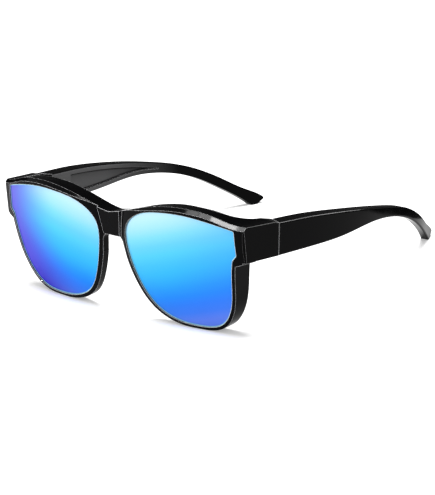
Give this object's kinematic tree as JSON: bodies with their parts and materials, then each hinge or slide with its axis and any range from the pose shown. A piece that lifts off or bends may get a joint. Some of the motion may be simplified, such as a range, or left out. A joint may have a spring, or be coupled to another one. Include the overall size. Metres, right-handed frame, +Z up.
{
  "type": "fitover sunglasses",
  "caption": "Deep fitover sunglasses in glossy black with blue mirror lenses, standing open on rims and temple tips, with temples that fold on screw hinges.",
  "frame": {"origin": "on the table, under the middle of the open pair", "axes": "+Z up, -Y the way the lenses look, +X the wearer's left"},
  "size_m": [0.153, 0.1586, 0.0559],
  "materials": {
    "frame": "polished black injection-moulded plastic",
    "lens": "blue mirror coat on a tinted polarised sheet",
    "metal": "plain nickel-plated steel"
  },
  "bodies": {
    "front": {"front_frame": "frame", "lens_left": "lens", "lens_right": "lens", "hinge_front_leaf_left": "metal", "hinge_front_leaf_right": "metal", "hinge_screw_left": "metal", "hinge_screw_right": "metal"},
    "temple_left": {"temple_left": "frame", "hinge_temple_leaf_left": "metal"},
    "temple_right": {"temple_right": "frame", "hinge_temple_leaf_right": "metal"}
  },
  "joints": [
    {"name": "temple_fold_left", "type": "hinge", "parent": "front", "child": "temple_left", "pos_m": [0.0644, -0.0481, 0.03791], "axis": [0, 0.1236, 0.9923], "range_deg": [0, 88]},
    {"name": "temple_fold_right", "type": "hinge", "parent": "front", "child": "temple_right", "pos_m": [-0.0644, -0.0481, 0.03791], "axis": [0, -0.1236, -0.9923], "range_deg": [0, 72]}
  ]
}
